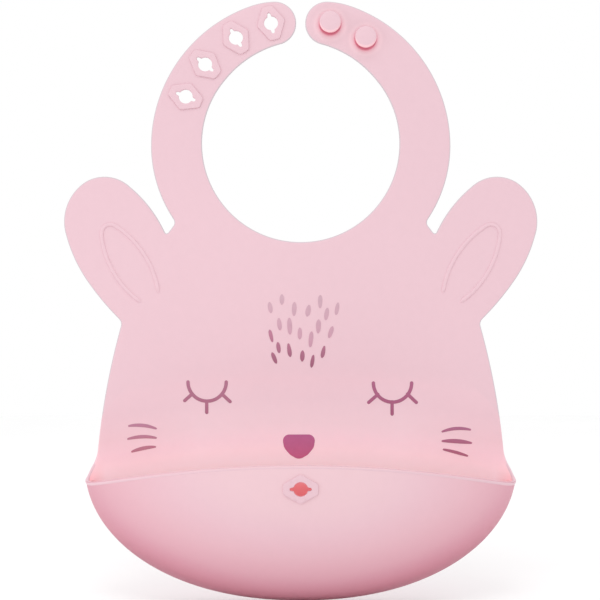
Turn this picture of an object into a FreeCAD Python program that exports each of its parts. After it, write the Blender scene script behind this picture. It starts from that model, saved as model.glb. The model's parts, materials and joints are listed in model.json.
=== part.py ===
import FreeCAD, Part
import math
import os
import Sketcher
from FreeCAD import Placement, Rotation, Vector

# Silicone baby bib, upright: +Z up, front towards -Y, origin at the middle of
# the neck opening and of the sheet's thickness.  Millimetres and degrees.

os.makedirs("parts", exist_ok=True)
doc = FreeCAD.newDocument("bib")

# Half outline of the flat moulding, x >= 0: name, x, z, radius of the edge that
# follows (0 is straight) and the side of its centre (+1 left of travel).
OUTLINE = [
    ("neck_low", 0.0, -49.0, 49.3, 1),
    ("neck_side", 37.6, 32.3, 53.0, 1),
    ("neck_tip", 9.6, 50.2, 10.85, -1),
    ("tip_top", 13.7, 71.3, 39.5, -1),
    ("shoulder", 24.2, 69.4, 74.6, -1),
    ("collar_side", 75.3, -2.0, 66.7, -1),
    ("collar_low", 62.5, -39.3, 0.0, 0),
    ("notch", 67.3, -45.7, 65.0, -1),
    ("ear_in", 85.5, -21.3, 18.6, -1),
    ("ear_top", 107.7, -18.9, 23.7, -1),
    ("ear_out", 117.2, -46.2, 83.5, -1),
    ("ear_low", 89.4, -89.0, 355.0, -1),
    ("flare", 101.5, -153.3, 21.0, 1),
    ("flare_low", 104.9, -162.6, 0.0, 0),
    ("corner", 108.2, -167.0, 0.0, 0),
    ("blank_side", 108.2, -232.0, 0.0, 0),
    ("blank_mid", 0.0, -232.0, 0.0, 0),
]

SIZES = [
    ("sheet_thick", 2.0),
    ("bead_height", 0.6),
    ("bead_width", 1.8),
    ("print_height", 0.2),
    ("knuckle_radius", 1.0),
    ("hinge_clearance", 0.3),
    ("bend_z", -25.0),
    ("curl_z", 3.0),
    ("tilt_z", -138.0),
    ("ear_hinge_offset", 8.0),
    ("pocket_z", -165.0),
    ("pocket_half_width", 108.3),
    ("pocket_depth", 36.0),
    ("pocket_drop", 63.0),
    ("pocket_wall", 2.0),
    ("gusset_depth", 10.0),
    ("rim_radius", 500.0),
    ("rim_top_z", -157.2),
    ("rim_band", 2.5),
    ("rim_bead", 0.8),
    ("slot_orbit", 62.2),
    ("slot_radius", 3.5),
    ("slot_length", 10.5),
    ("slit_width", 1.6),
    ("pad_height", 0.8),
    ("pad_half_length", 8.5),
    ("pad_half_flat", 2.5),
    ("pad_half_height", 7.2),
    ("stud_head_radius", 5.35),
    ("stud_head_thick", 2.4),
    ("stud_edge_radius", 0.8),
    ("stud_stem_radius", 3.1),
    ("stud_height", 5.0),
]

sizes = doc.addObject("Spreadsheet::Sheet", "sizes")


def cell(alias, value):
    row = len(cells) + 1
    cells[alias] = value
    sizes.set("A%d" % row, alias)
    sizes.set("B%d" % row, repr(value))
    sizes.setAlias("B%d" % row, alias)


cells = {}
for alias, value in SIZES:
    cell(alias, value)
for name, x, z, radius, side in OUTLINE:
    cell(name + "_x", x)
    cell(name + "_z", z)
    if radius:
        cell(name + "_bend", radius)
doc.recompute()


def make(kind, name, **properties):
    item = doc.addObject(kind, name)
    for key, value in properties.items():
        setattr(item, key, value)
    return item


def bind(item, **expressions):
    for key, expression in expressions.items():
        item.setExpression(key.replace("__", "."), expression)
    return item


def draw_loop(sketch, corners, bound):
    """Closed loop of (name, x, z, radius, side) corners joined by lines and arcs."""
    ends = []
    count = len(corners)
    for i, (name, x, z, radius, side) in enumerate(corners):
        start = Vector(x, z, 0)
        stop = Vector(corners[(i + 1) % count][1], corners[(i + 1) % count][2], 0)
        if not radius:
            ends.append((sketch.addGeometry(Part.LineSegment(start, stop)), 1, 2))
            continue
        chord = stop - start
        left = Vector(-chord.y, chord.x, 0).normalize() * side
        rise = math.sqrt(max(radius ** 2 - (chord.Length / 2) ** 2, 0))
        centre = (start + stop) * 0.5 + left * rise
        first, last = (start, stop) if side > 0 else (stop, start)
        angles = [math.atan2(p.y - centre.y, p.x - centre.x) for p in (first, last)]
        circle = Part.Circle(centre, Vector(0, 0, 1), radius)
        arc = sketch.addGeometry(Part.ArcOfCircle(circle, *angles))
        ends.append((arc, 1, 2) if side > 0 else (arc, 2, 1))
    for i, (name, x, z, radius, side) in enumerate(corners):
        geometry, begin, finish = ends[i]
        after, after_begin, _ = ends[(i + 1) % count]
        sketch.addConstraint(Sketcher.Constraint("Coincident", geometry, finish, after, after_begin))
        pins = [("DistanceY", z, "_z")]
        if abs(x) < 1e-9:
            sketch.addConstraint(Sketcher.Constraint("PointOnObject", geometry, begin, -2))
        else:
            pins.append(("DistanceX", x, "_x"))
        for kind, value, suffix in pins:
            n = sketch.addConstraint(Sketcher.Constraint(kind, geometry, begin, value))
            if bound:
                sketch.renameConstraint(n, name + suffix)
                sketch.setExpression("Constraints." + name + suffix, "sizes." + name + suffix)
        if radius:
            n = sketch.addConstraint(Sketcher.Constraint("Radius", geometry, radius))
            if bound:
                sketch.renameConstraint(n, name + "_bend")
                sketch.setExpression("Constraints." + name + "_bend", "sizes." + name + "_bend")


def body_sketch(body, plane, name):
    sketch = body.newObject("Sketcher::SketchObject", name)
    origin = [f for f in body.Origin.OriginFeatures if f.Role == plane][0]
    sketch.AttachmentSupport = [(origin, "")]
    sketch.MapMode = "FlatFace"
    return sketch


# The flat moulding: half outline, padded about its mid-plane and mirrored.
blank = doc.addObject("PartDesign::Body", "sheet_blank")
outline = body_sketch(blank, "XZ_Plane", "half_outline")
draw_loop(outline, OUTLINE, True)
doc.recompute()
pad = blank.newObject("PartDesign::Pad", "half_sheet")
pad.Profile = outline
pad.Midplane = True
bind(pad, Length="sizes.sheet_thick")
doc.recompute()
both = blank.newObject("PartDesign::Mirrored", "both_halves")
both.Originals = [pad]
mirror_plane = [f for f in blank.Origin.OriginFeatures if f.Role == "YZ_Plane"][0]
both.MirrorPlane = (mirror_plane, [""])
blank.Tip = both
doc.recompute()


def slab(name, x0, x1, z0, z1, y0=-6.0, y1=6.0):
    return make("Part::Box", name, Length=x1 - x0, Width=y1 - y0, Height=z1 - z0,
                Placement=Placement(Vector(x0, y0, z0), Rotation()))


def fuse(name, *shapes):
    return make("Part::MultiFuse", name, Shapes=list(shapes))


def common(name, base, tool):
    return make("Part::Common", name, Base=base, Tool=tool)


def cut(name, base, tool):
    return make("Part::Cut", name, Base=base, Tool=tool)


def mirrored(name, source):
    return make("Part::Mirroring", name, Source=source, Base=Vector(0, 0, 0), Normal=Vector(1, 0, 0))


def knuckle(name, x, z, length):
    """Round end of a flexing part, on its bending line, which runs along X."""
    turn = Rotation(Vector(0, 1, 0), 90)
    item = make("Part::Cylinder", name, Height=length, Placement=Placement(Vector(x, 0, z), turn))
    return bind(item, Radius="sizes.knuckle_radius")


# Collar halves: a lower strap and a strap end, each bending where it starts.
strap_zone = slab("strap_zone", 0, 78, cells["bend_z"], 1.7)
bind(strap_zone, Placement__Base__z="sizes.bend_z",
     Height="sizes.curl_z - sizes.bend_z - sizes.knuckle_radius - sizes.hinge_clearance")
strap_knuckle = bind(knuckle("strap_knuckle", 30, -25, 48), Placement__Base__z="sizes.bend_z")
right_strap = common("right_strap", blank, fuse("strap_tool", strap_zone, strap_knuckle))

end_zone = bind(slab("end_zone", 0, 78, 3, 76), Placement__Base__z="sizes.curl_z")
end_knuckle = bind(knuckle("end_knuckle", 30, 3, 48), Placement__Base__z="sizes.curl_z")
right_strap_end = common("right_strap_end", blank, fuse("end_tool", end_zone, end_knuckle))
left_strap = mirrored("left_strap", right_strap)
left_end_blank = mirrored("left_end_blank", right_strap_end)

# Ears: everything beyond a line parallel to the one from the notch to the panel.
notch = Vector(cells["notch_x"], 0, cells["notch_z"])
ear_low = Vector(cells["ear_low_x"], 0, cells["ear_low_z"])
along = (ear_low - notch).normalize()
outward = Vector(-along.z, 0, along.x)
ear_turn = Rotation(outward, Vector(0, 1, 0), -along, "XZY")


def ear_slab(name, start):
    place = Placement(notch + outward * start + along * 70 - Vector(0, 6, 0), ear_turn)
    beyond = make("Part::Box", name + "_slab", Length=70, Width=12, Height=86, Placement=place)
    return common(name, beyond, slab(name + "_limit", 70.4, 130, -100, -10))


hinge_at = notch + outward * cells["ear_hinge_offset"]
ear_knuckle = make("Part::Cylinder", "ear_knuckle", Height=90,
                   Placement=Placement(hinge_at - along * 20, Rotation(Vector(0, 0, 1), along)))
bind(ear_knuckle, Radius="sizes.knuckle_radius")
knuckle_limit = common("ear_knuckle_trimmed", ear_knuckle, slab("ear_knuckle_limit", 70.4, 130, -100, -10))
ear_tool = fuse("ear_tool", ear_slab("ear_zone", cells["ear_hinge_offset"]), knuckle_limit)
right_ear = common("right_ear", blank, ear_tool)
left_ear = mirrored("left_ear", right_ear)

# Front panel: the blank less the straps, the ears and the pocket.
gap = cells["knuckle_radius"] + cells["hinge_clearance"]
above = bind(slab("above_panel", -78, 78, -26.3, 80),
             Placement__Base__z="sizes.bend_z - sizes.knuckle_radius - sizes.hinge_clearance")
below = bind(slab("below_panel", -125, 125, -236.7, -136.7),
             Placement__Base__z="sizes.tilt_z + sizes.knuckle_radius + sizes.hinge_clearance - 100")
ear_gap = ear_slab("ear_gap", cells["ear_hinge_offset"] - gap)
panel_cuts = fuse("panel_cuts", above, below, ear_gap, mirrored("left_ear_gap", ear_gap))
bib_panel = cut("bib_panel", blank, panel_cuts)

# Raised outline inside each ear: two long arcs joined by a small one, open below.
EAR_BEAD = {"start": (71.0, -75.0), "near": (93.5, -40.3), "far": (99.7, -45.0),
            "stop": (79.5, -79.3), "near_radius": 48.2, "far_radius": 46.3, "tip_radius": 4.5}


def arc_centre(p, q, radius, side):
    chord = q - p
    left = Vector(-chord.y, chord.x, 0).normalize() * side
    return (p + q) * 0.5 + left * math.sqrt(radius ** 2 - (chord.Length / 2) ** 2)


def ear_bead_corners():
    start, near, far, stop = [Vector(*EAR_BEAD[k], 0) for k in ("start", "near", "far", "stop")]
    r1, r2, rt = EAR_BEAD["near_radius"], EAR_BEAD["far_radius"], EAR_BEAD["tip_radius"]
    c1 = arc_centre(start, near, r1, -1)
    c2 = arc_centre(far, stop, r2, -1)
    base = c2 - c1
    reach = ((r1 - rt) ** 2 - (r2 - rt) ** 2 + base.Length ** 2) / (2 * base.Length)
    rise = math.sqrt((r1 - rt) ** 2 - reach ** 2)
    unit = Vector(base.x, base.y, 0).normalize()
    options = [c1 + unit * reach + Vector(-unit.y, unit.x, 0) * (rise * s) for s in (1, -1)]
    tip = max(options, key=lambda p: p.y)
    half = cells["bead_width"] / 2

    def on(centre, through, radius):
        return centre + (through - centre).normalize() * radius

    corners = []
    for sign, order in ((1, -1), (-1, 1)):
        w = half * sign
        points = [on(c1, start, r1 + w), on(c1, tip, r1 + w), on(c2, tip, r2 + w), on(c2, stop, r2 + w)]
        radii = [r1 + w, rt + w, r2 + w]
        if sign < 0:
            points.reverse()
            radii.reverse()
        corners += [("", p.x, p.y, r, order) for p, r in zip(points, radii + [0.0])]
    return corners


FACE = Rotation(Vector(1, 0, 0), 90)


def raised(name, loops, y, height):
    """Flat relief on a face at depth y: closed loops drawn in X and Z, raised to -Y."""
    sketch = make("Sketcher::SketchObject", name + "_sketch", Placement=Placement(Vector(0, y, 0), FACE))
    for corners in loops:
        draw_loop(sketch, corners, False)
    relief = make("Part::Extrusion", name, Base=sketch, DirMode="Custom", Dir=Vector(0, -1, 0), Solid=True)
    return bind(relief, LengthFwd=height)


front = -cells["sheet_thick"] / 2
bead = raised("ear_bead", [ear_bead_corners()], front, "sizes.bead_height")
right_ear_line = common("right_ear_line", bead, ear_slab("line_zone", cells["ear_hinge_offset"] + 2.0))
right_ear_line_root = cut("right_ear_line_root", bead, ear_slab("root_gap", cells["ear_hinge_offset"] - 2.0))
left_ear_line = mirrored("left_ear_line", right_ear_line)
left_ear_line_root = mirrored("left_ear_line_root", right_ear_line_root)

# Pocket: a flat back and a bowl, the front half of an ellipsoidal shell.
ellipse = make("Part::Ellipse", "pocket_ellipse", MajorRadius=108.3, MinorRadius=63.0,
               Placement=Placement(Vector(0, 3, -165), FACE))
bind(ellipse, MajorRadius="sizes.pocket_half_width", MinorRadius="sizes.pocket_drop",
     Placement__Base__z="sizes.pocket_z")
oval = make("Part::Extrusion", "pocket_oval", Base=ellipse, DirMode="Custom", Dir=Vector(0, -1, 0),
            LengthFwd=6, Solid=True)
low_oval = common("low_oval", oval, slab("low_zone", -125, 125, -240, -166.9))
pocket_top = slab("pocket_top", -125, 125, -167, -138)
tilt_knuckle = bind(knuckle("tilt_knuckle", -125, -138, 250), Placement__Base__z="sizes.tilt_z")
pocket_back = common("pocket_back", blank, fuse("pocket_back_tool", pocket_top, tilt_knuckle, low_oval))


def bowl(name, growth):
    """Ellipsoid of the pocket's outer surface, grown by an expression."""
    item = make("Part::Ellipsoid", name, Angle1=-90, Angle2=90, Angle3=360,
                Placement=Placement(Vector(0, 0, -165), Rotation()))
    return bind(item, Placement__Base__z="sizes.pocket_z",
                Radius1="sizes.pocket_drop + " + growth,
                Radius2="sizes.pocket_half_width + " + growth,
                Radius3="sizes.pocket_depth + " + growth)


def rim_drum(name, lower):
    """Everything below the pocket's mouth, which is an arc across the front."""
    item = make("Part::Cylinder", name, Height=60,
                Placement=Placement(Vector(0, 10, 0), Rotation(Vector(1, 0, 0), 90)))
    return bind(item, Radius="sizes.rim_radius - " + lower,
                Placement__Base__z="sizes.rim_top_z - sizes.rim_radius")


inside = bowl("bowl_inside", "0 - sizes.pocket_wall")
shell = cut("bowl_shell", bowl("bowl_outside", "0"), inside)
thick_shell = cut("bowl_thick_shell", bowl("bowl_bead", "sizes.rim_bead"), inside)
wall_drum = rim_drum("wall_drum", "sizes.rim_band")
wall = common("bowl_wall", shell, wall_drum)
band = cut("rim_band_drum", rim_drum("mouth_drum", "0"), wall_drum)
rim = common("rim_ring", thick_shell, band)

depth = cells["gusset_depth"]
lip_start = -depth - cells["hinge_clearance"]
pocket_gusset = common("pocket_gusset", wall, slab("gusset_zone", -125, 125, -240, -140, -depth, front))
pocket_rim = common("pocket_rim", rim, slab("rim_zone", -125, 125, -240, -140, -45, lip_start))
corner_zone = slab("corner_zone", 60, 125, -240, -140, -depth, front)
rim_corner_right = common("rim_corner_right", rim, corner_zone)
rim_corner_left = mirrored("rim_corner_left", rim_corner_right)

# Fastening pads: raised hexagons, each with a round hole that a slit widens.
hx, hf, hz = cells["pad_half_length"], cells["pad_half_flat"], cells["pad_half_height"]
HEXAGON = [("", hx, -hf, 0.0, 0), ("", hx, hf, 0.0, 0), ("", 0, hz, 0.0, 0),
           ("", -hx, hf, 0.0, 0), ("", -hx, -hf, 0.0, 0), ("", 0, -hz, 0.0, 0)]


def hexagon(name, place, length):
    sketch = make("Sketcher::SketchObject", name + "_sketch", Placement=place)
    draw_loop(sketch, HEXAGON, False)
    block = make("Part::Extrusion", name, Base=sketch, DirMode="Custom", Dir=Vector(0, -1, 0), Solid=True)
    return bind(block, LengthFwd=length)


def slot_tool(name, place):
    """Round hole and the slit across it, along the pad's long direction."""
    hole = make("Part::Cylinder", name + "_hole", Height=60,
                Placement=place * Placement(Vector(0, 0, -30), Rotation()))
    bind(hole, Radius="sizes.slot_radius")
    length, width = cells["slot_length"], cells["slit_width"]
    corner = Placement(Vector(-length / 2, -width / 2, -30), Rotation())
    slit = make("Part::Box", name + "_slit", Height=60, Placement=place * corner)
    bind(slit, Length="sizes.slot_length", Width="sizes.slit_width")
    return fuse(name, hole, slit)


slot_pads = []
hexagons = []
for n, angle in enumerate((103.8, 121.4, 140.2, 157.6), 1):
    spin = Rotation(Vector(0, -1, 0), angle)
    radial = spin.multVec(Vector(cells["slot_orbit"], 0, 0))
    place = Placement(radial - Vector(0, front, 0), spin.multiply(FACE))
    block = hexagon("pad_block_%d" % n, place, "sizes.sheet_thick + sizes.pad_height")
    hexagons.append(block)
    slot_pads.append(cut("slot_pad_%d" % n, block, slot_tool("pad_slot_%d" % n, place)))
left_strap_end = cut("left_strap_end", left_end_blank, fuse("pad_windows", *hexagons))

pad_inside = cells["pocket_depth"] - cells["pocket_wall"] - 1.0
place = Placement(Vector(0, -pad_inside, -168.3), FACE)
front_block = hexagon("front_block", place, "sizes.pocket_wall + 1 + sizes.pad_height")
pocket_slot_pad = cut("pocket_slot_pad", front_block, slot_tool("front_slot", place))
lip_zone = slab("lip_zone", -125, 125, -240, -140, -45, lip_start)
pocket_front = cut("pocket_front", common("lip_wall", wall, lip_zone), front_block)


# Studs: mushroom buttons, turned about an axis along Y.
def stud(name, x, z):
    body = doc.addObject("PartDesign::Body", name)
    sketch = body_sketch(body, "XY_Plane", name + "_profile")
    edge = cells["stud_edge_radius"]
    head, stem = cells["stud_head_radius"], cells["stud_stem_radius"]
    top = -cells["stud_height"]
    under = top + cells["stud_head_thick"]
    corners = [("", 0, 0, 0.0, 0), ("", 0, top, 0.0, 0), ("", head - edge, top, edge, 1),
               ("", head, top + edge, 0.0, 0), ("", head, under - edge, edge, 1),
               ("", head - edge, under, 0.0, 0), ("", stem, under, 0.0, 0), ("", stem, 0, 0.0, 0)]
    draw_loop(sketch, corners, False)
    doc.recompute()
    turned = body.newObject("PartDesign::Revolution", name + "_turned")
    turned.Profile = sketch
    turned.ReferenceAxis = (sketch, ["V_Axis"])
    turned.Angle = 360
    body.Tip = turned
    body.Placement = Placement(Vector(x, front, z), Rotation())
    return body


stud_outer = stud("stud_outer", 14.7, 60.5)
stud_inner = stud("stud_inner", 32.4, 53.0)


# Printed face: thin reliefs on the front of the sheet.
def stroke(x0, z0, x1, z1, width):
    """Straight stroke with round ends."""
    a, b = Vector(x0, z0, 0), Vector(x1, z1, 0)
    d = (b - a).normalize() * (width / 2)
    n = Vector(-d.y, d.x, 0)
    points = [(a - n, 0), (b - n, 1), (b + d, 1), (b + n, 0), (a + n, 1), (a - d, 1)]
    return [("", p.x, p.y, width / 2 * bend, 1) for p, bend in points]


def fleck(x0, z0, x1, z1, width):
    """Stroke whose round ends reach just to the two points."""
    inset = Vector(x1 - x0, z1 - z0, 0).normalize() * (width / 2)
    return stroke(x0 + inset.x, z0 + inset.y, x1 - inset.x, z1 - inset.y, width)


def crescent(x0, z0, x1, z1, rise, thick):
    """Arched stroke that tapers to both ends; rise is its middle above the ends."""
    chord = Vector(x1 - x0, z1 - z0, 0).Length

    def bend(sag):
        return (chord ** 2 / 4 + sag ** 2) / (2 * abs(sag))

    low, high = rise - thick / 2, rise + thick / 2
    return [("", x0, z0, bend(low), -1 if low > 0 else 1), ("", x1, z1, bend(high), 1)]


def smile(x, z, radius, width):
    """Half ring, open upwards, with round ends."""
    w = width / 2
    out, inn = radius + w, radius - w
    return [("", x - out, z, out, 1), ("", x, z - out, out, 1), ("", x + out, z, w, 1),
            ("", x + radius, z + w, w, 1), ("", x + inn, z, inn, -1), ("", x, z - inn, inn, -1),
            ("", x - inn, z, w, 1), ("", x - radius, z + w, w, 1)]


def rounded(points):
    """Polygon, anticlockwise, with each (x, z, radius) corner rounded."""
    loop = []
    count = len(points)
    for i, (x, z, radius) in enumerate(points):
        here = Vector(x, z, 0)
        back = (Vector(*points[i - 1][:2], 0) - here).normalize()
        ahead = (Vector(*points[(i + 1) % count][:2], 0) - here).normalize()
        trim = radius / math.tan(back.getAngle(ahead) / 2)
        p, q = here + back * trim, here + ahead * trim
        loop += [("", p.x, p.y, radius, 1), ("", q.x, q.y, 0.0, 0)]
    return loop


def eye(name, x, z, lashes):
    arc = raised(name + "_arc", [smile(x, z, 9.56, 1.7)], front, "sizes.print_height")
    strokes = [stroke(*ends, 1.7) for ends in lashes]
    return fuse(name, arc, raised(name + "_lashes", strokes, front, "sizes.print_height"))


left_eye_print = eye("left_eye_print", -46.8, -119.0,
                     [(-54.2, -124.9, -58.0, -128.3), (-47.0, -128.6, -47.0, -134.2),
                      (-39.2, -125.2, -35.3, -128.8)])
right_eye_print = eye("right_eye_print", 45.9, -119.5,
                      [(38.6, -125.2, 34.0, -129.2), (45.7, -128.9, 45.7, -135.0),
                       (53.4, -125.0, 57.8, -129.2)])
NOSE = [(-9.5, -145.2, 3.2), (-8.3, -151.9, 4.5), (-5.3, -155.4, 5.0), (-0.9, -157.9, 4.0),
        (3.5, -155.4, 5.0), (6.5, -151.9, 4.5), (7.7, -145.2, 3.2)]
nose_print = raised("nose_print", [rounded(NOSE)], front, "sizes.print_height")
WHISKERS = {
    "left": [(-86.3, -140.9, -71.9, -142.3, 0.9, 1.5), (-86.8, -147.5, -71.9, -146.9, 0.85, 1.5),
             (-84.8, -153.9, -72.3, -151.3, 0.5, 1.6)],
    "right": [(70.4, -143.8, 85.2, -142.8, 1.05, 1.5), (70.4, -148.5, 85.7, -149.5, 0.4, 2.0),
              (71.0, -152.6, 83.7, -156.0, 0.2, 1.5)],
}
whisker_prints = {}
for hand, arcs in WHISKERS.items():
    loops = [crescent(*arc) for arc in arcs]
    whisker_prints[hand] = raised(hand + "_whisker_print", loops, front, "sizes.print_height")

PALE_FLECKS = [(-15.7, -79.0, -14.8, -84.6), (-9.4, -75.1, -9.4, -80.4), (-3.1, -79.0, -3.4, -86.0),
               (4.3, -80.4, 3.2, -86.3), (9.8, -75.5, 9.65, -82.1), (13.4, -81.9, 12.5, -88.1),
               (18.7, -79.3, 17.6, -85.5), (-11.0, -87.0, -10.3, -93.2), (-5.7, -86.9, -5.35, -95.3),
               (-0.4, -91.8, -0.5, -97.7), (9.0, -87.7, 8.7, -94.7), (16.0, -91.1, 14.1, -97.0),
               (5.5, -93.7, 4.7, -101.6)]
DARK_FLECKS = [(-15.6, -92.8, -14.1, -99.1), (-11.5, -99.0, -10.7, -104.6), (-6.2, -99.7, -5.2, -106.5),
               (0.95, -103.2, 0.7, -108.8), (11.9, -100.9, 10.6, -107.0), (-14.4, -104.2, -12.1, -109.8),
               (6.4, -105.4, 5.3, -111.8)]
fleck_prints = {}
for tone, flecks in (("light", PALE_FLECKS), ("dark", DARK_FLECKS)):
    loops = [fleck(*ends, 2.1) for ends in flecks]
    fleck_prints[tone] = raised("forehead_fleck_print_" + tone, loops, front, "sizes.print_height")

doc.recompute()

NODES = [bib_panel, left_strap, left_strap_end, right_strap, right_strap_end, left_ear, right_ear,
         left_ear_line, right_ear_line, left_ear_line_root, right_ear_line_root,
         pocket_back, pocket_gusset, pocket_front, pocket_rim, rim_corner_left, rim_corner_right,
         pocket_slot_pad, stud_outer, stud_inner, nose_print, left_eye_print, right_eye_print,
         whisker_prints["left"], whisker_prints["right"], fleck_prints["light"], fleck_prints["dark"]]
NODES += slot_pads

for item in doc.Objects:
    if "Invalid" in item.State or "Error" in item.State:
        raise SystemExit("not built: " + item.Label)
for node in NODES:
    if node.Shape.isNull() or not node.Shape.isValid() or not node.Shape.Solids:
        raise SystemExit("bad shape: " + node.Label)
    node.Shape.exportStep("parts/%s.step" % node.Label)
    box = node.Shape.BoundBox
    print("%-26s %d solids  %7.0f mm3  x %.1f %.1f  y %.1f %.1f  z %.1f %.1f" % (
        node.Label, len(node.Shape.Solids), node.Shape.Volume,
        box.XMin, box.XMax, box.YMin, box.YMax, box.ZMin, box.ZMax))
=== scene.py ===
import json
import math
from contextlib import contextmanager

import bmesh
import bpy
import numpy as np
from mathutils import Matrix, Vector
from mathutils.geometry import delaunay_2d_cdt
from mathutils.kdtree import KDTree


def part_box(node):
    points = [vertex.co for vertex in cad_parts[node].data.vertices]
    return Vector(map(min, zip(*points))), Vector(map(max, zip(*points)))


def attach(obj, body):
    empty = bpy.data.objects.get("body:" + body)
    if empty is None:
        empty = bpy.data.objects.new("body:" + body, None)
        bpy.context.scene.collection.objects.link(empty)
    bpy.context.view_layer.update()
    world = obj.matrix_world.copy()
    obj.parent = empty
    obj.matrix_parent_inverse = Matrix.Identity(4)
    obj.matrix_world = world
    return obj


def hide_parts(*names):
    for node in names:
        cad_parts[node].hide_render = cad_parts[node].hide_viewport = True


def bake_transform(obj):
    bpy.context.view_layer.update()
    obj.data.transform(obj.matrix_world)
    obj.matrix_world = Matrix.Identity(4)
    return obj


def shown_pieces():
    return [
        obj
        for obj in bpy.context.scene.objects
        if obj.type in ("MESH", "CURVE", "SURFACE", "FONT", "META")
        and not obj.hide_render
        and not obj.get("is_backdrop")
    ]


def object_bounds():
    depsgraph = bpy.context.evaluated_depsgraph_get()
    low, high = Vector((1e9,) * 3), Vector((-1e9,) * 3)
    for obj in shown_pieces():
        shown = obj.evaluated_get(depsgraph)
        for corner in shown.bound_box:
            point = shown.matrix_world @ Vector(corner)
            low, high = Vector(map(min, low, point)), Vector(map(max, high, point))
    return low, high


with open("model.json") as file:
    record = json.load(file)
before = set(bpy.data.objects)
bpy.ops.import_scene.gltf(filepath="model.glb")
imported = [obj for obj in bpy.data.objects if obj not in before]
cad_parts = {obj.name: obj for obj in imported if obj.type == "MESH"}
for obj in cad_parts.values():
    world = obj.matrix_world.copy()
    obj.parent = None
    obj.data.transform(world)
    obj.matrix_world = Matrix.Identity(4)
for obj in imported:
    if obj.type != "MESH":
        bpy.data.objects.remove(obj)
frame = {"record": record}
cad_low, cad_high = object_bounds()

# Silicone bib: soft moulded skins and printed marks over the CAD frame.
# Shapes are worked out in millimetres, x to the right and z up, and turned into
# metres when a mesh is made.  The front of the bib faces -Y.

MM = 0.001
SHEET = 1.0  # half the sheet's thickness
OVERLAP = 0.1  # how far joined pieces reach into each other
EDGE_ROUND = 0.7  # how far the sheet's edges are rounded
SIDES = {"left": -1, "right": 1}


# ---- outlines ----

EAR_NOTCH = (67.3, -45.7)  # where an ear meets the collar
EAR_FOOT = (89.4, -89.0)  # where it meets the panel's side

# Half outline, x >= 0: x, z, radius of the edge that follows (0 is straight),
# side of its centre (+1 left of travel) and how far the corner is rounded.
HALF = [
    (0.0, -49.0, 49.3, 1, 0),
    (37.6, 32.3, 53.0, 1, 0),
    (9.6, 50.2, 10.85, -1, 0),
    (13.7, 71.3, 39.5, -1, 0),
    (24.2, 69.4, 74.2, -1, 0),
    (74.9, -2.0, 66.7, -1, 0),
    (62.5, -39.3, 0.0, 0, 2.0),
    (*EAR_NOTCH, 65.0, -1, 1.6),
    (85.5, -21.3, 18.6, -1, 0),
    (107.7, -18.9, 23.7, -1, 0),
    (117.2, -46.2, 72.3, -1, 0),
    (107.15, -68.0, 133.8, -1, 0),
    (*EAR_FOOT, 355.0, -1, 1.2),
    (101.5, -153.3, 21.0, 1, 0),
    (104.9, -162.6, 0.0, 0, 0),
]
TIP = (107.35, -168.2)  # where the panel's side runs into the pocket

# The pocket's outer surface is an ellipsoid about (0, 0, BOWL_Z), a little squarer
# from side to side: its power in x is BOWL_POWER instead of 2.
BOWL_Z = -161.2
BOWL_X, BOWL_Y, BOWL_DROP = 107.9, 36.0, 66.8
BOWL_POWER = 2.17
WALL = 2.0
FOLD_FILLET = 3.0  # inside the fold, where the bowl meets the back
RIM_RADIUS, RIM_TOP = 500.0, -157.2
RIM_STEPS = 150
RIM_EASE = 0.35  # share of steps that crowd smoothly towards the tips
RIM_LIFT = 0.16  # radians over which the lip lifts to the tip
RIM_CROWD = 0.42  # crowds the bowl's columns towards the tips


def arc(p, q, radius, side, step=1.2):
    """Points from p up to q, without q: straight, or on a minor arc."""
    p, q = np.array(p, float), np.array(q, float)
    chord = q - p
    length = np.hypot(*chord)
    if not radius:
        n = max(1, round(length / step))
        return [tuple(p + chord * i / n) for i in range(n)]
    left = np.array([-chord[1], chord[0]]) / length * side
    centre = (p + q) / 2 + left * math.sqrt(max(radius ** 2 - length ** 2 / 4, 0))
    start = math.atan2(*(p - centre)[::-1])
    sweep = side * 2 * math.asin(min(length / 2 / radius, 1))
    n = max(2, math.ceil(abs(sweep) * radius / min(step, radius * 0.12)))
    angles = start + sweep * np.arange(n) / n
    return [tuple(centre + radius * np.array([math.cos(a), math.sin(a)])) for a in angles]


def eased(a, corner, b, steps):
    """Points of a smooth bend from a to b, drawn towards the corner."""
    t = np.linspace(0, 1, steps)[:, None]
    return [tuple(p) for p in (1 - t) ** 2 * a + 2 * t * (1 - t) * corner + t ** 2 * b]


def rounded_corner(points, index, reach):
    """The open polyline with the corner at index replaced by a smooth bend."""
    at = np.array(points)
    before = after = index
    while math.dist(at[before], at[index]) < reach:
        before -= 1
    while math.dist(at[after], at[index]) < reach:
        after += 1
    return points[:before + 1] + eased(at[before], at[index], at[after], 9)[1:-1] + points[after:]


def bowl_angles():
    """Angles round the pocket's lower edge, from the right tip to the left one."""
    start = math.asin((BOWL_Z - TIP[1]) / BOWL_DROP)
    ease = 0.5 - 0.5 * np.cos(np.linspace(0, math.pi, RIM_STEPS + 1))
    even = np.linspace(0, 1, RIM_STEPS + 1)
    return start + (math.pi - 2 * start) * (RIM_EASE * ease + (1 - RIM_EASE) * even)


def fold_point(a, shrink=0.0):
    """Point of the pocket's lower edge in the sheet's plane."""
    c = math.cos(a)
    x = (BOWL_X - shrink) * math.copysign(abs(c) ** (2 / BOWL_POWER), c)
    return x, BOWL_Z - (BOWL_DROP - shrink) * math.sin(a)


def side_outline():
    """Right half of the free edge, from the neck's lowest point to the tip."""
    points, corners = [], []
    for i, (x, z, radius, side, reach) in enumerate(HALF):
        q = HALF[i + 1][:2] if i + 1 < len(HALF) else TIP
        if reach:
            corners.append((len(points), reach))
        points += arc((x, z), q, radius, side)
    for index, reach in reversed(corners):
        points = rounded_corner(points, index, reach)
    return points


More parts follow.
